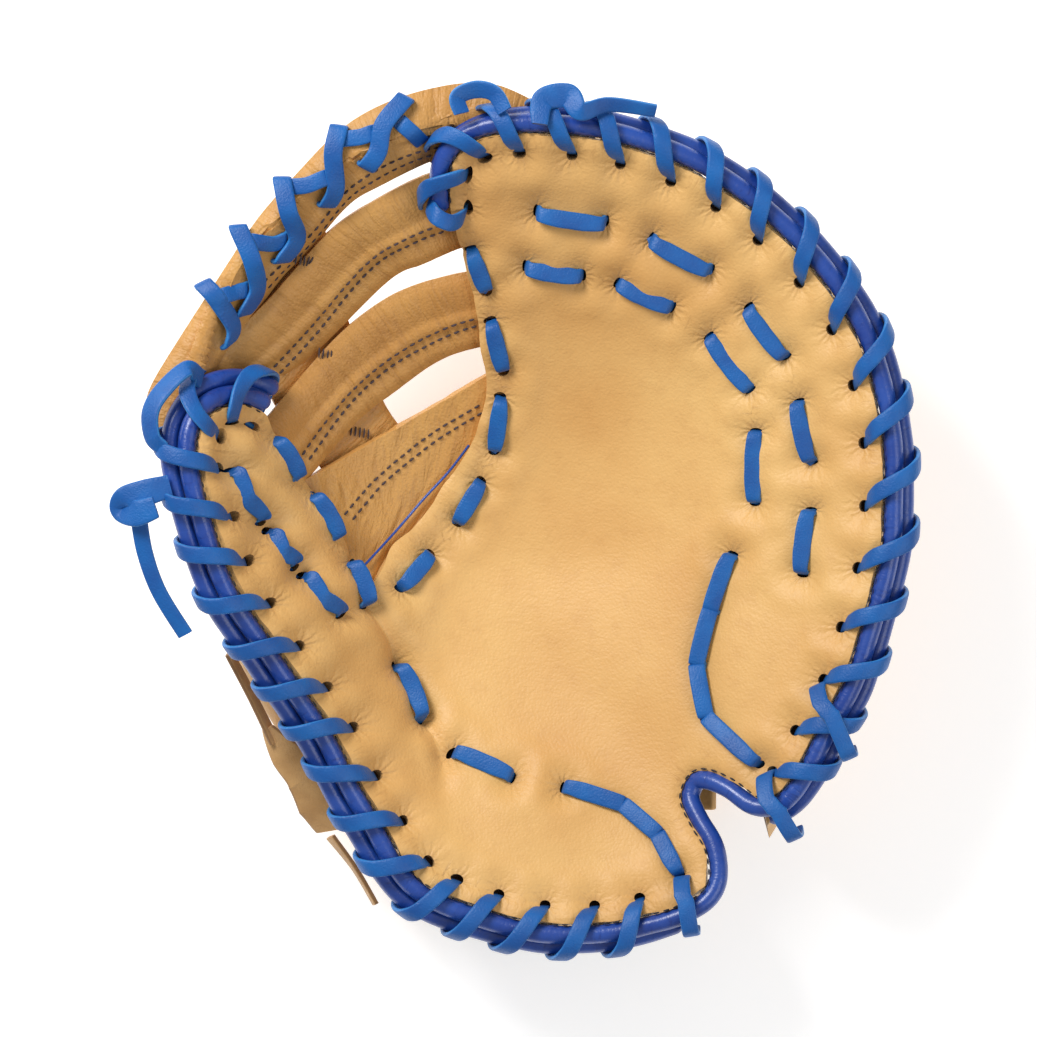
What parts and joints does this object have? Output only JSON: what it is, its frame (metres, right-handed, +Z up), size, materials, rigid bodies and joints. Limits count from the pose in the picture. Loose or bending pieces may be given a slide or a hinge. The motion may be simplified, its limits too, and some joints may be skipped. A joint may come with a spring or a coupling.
{
  "type": "first baseman mitt",
  "caption": "Leather first baseman mitt for the left hand, lying on its back with an open pocket, an open barred web, rolled edge binding and whipped laces.",
  "frame": {"origin": "centre of the outline in plan, on the surface that the back of the mitt rests on", "axes": "+Z up out of the open pocket, +Y towards the finger tips, +X towards the little finger side"},
  "size_m": [0.2646, 0.292, 0.0999],
  "materials": {
    "tan_leather": "smooth grained tan leather, soft sheen",
    "web_leather": "tan leather, finely wrinkled",
    "blue_binding": "glossy royal blue rolled leather",
    "blue_lace": "bright blue rawhide with paler cut edges",
    "suede_lace": "tan rawhide with rough brown edges"
  },
  "bodies": {
    "root": {"palm_panel": "tan_leather", "back_shell": "tan_leather", "wrist_strap": "tan_leather", "finger_binding_front": "blue_binding", "finger_binding_back": "blue_binding", "thumb_binding_front": "blue_binding", "thumb_binding_back": "blue_binding", "notch_binding": "blue_binding", "finger_edge_lace": "blue_lace", "thumb_edge_lace": "blue_lace", "palm_lace_outer": "blue_lace", "palm_lace_inner": "blue_lace", "heel_lace": "blue_lace", "heel_stitch": "blue_lace", "web_edge_lace": "blue_lace", "crease_stitch": "blue_lace", "thumb_lace": "blue_lace", "thumb_web_lace": "blue_lace", "web_top_bar": "web_leather", "web_bar_2": "web_leather", "web_bar_3": "web_leather", "web_base": "web_leather", "web_post": "web_leather", "web_bar_lace": "blue_lace", "finger_loop": "blue_lace", "top_knot": "blue_lace", "thumb_loop": "blue_lace", "thumb_knot": "blue_lace", "strap_lace": "suede_lace"}
  },
  "joints": []
}
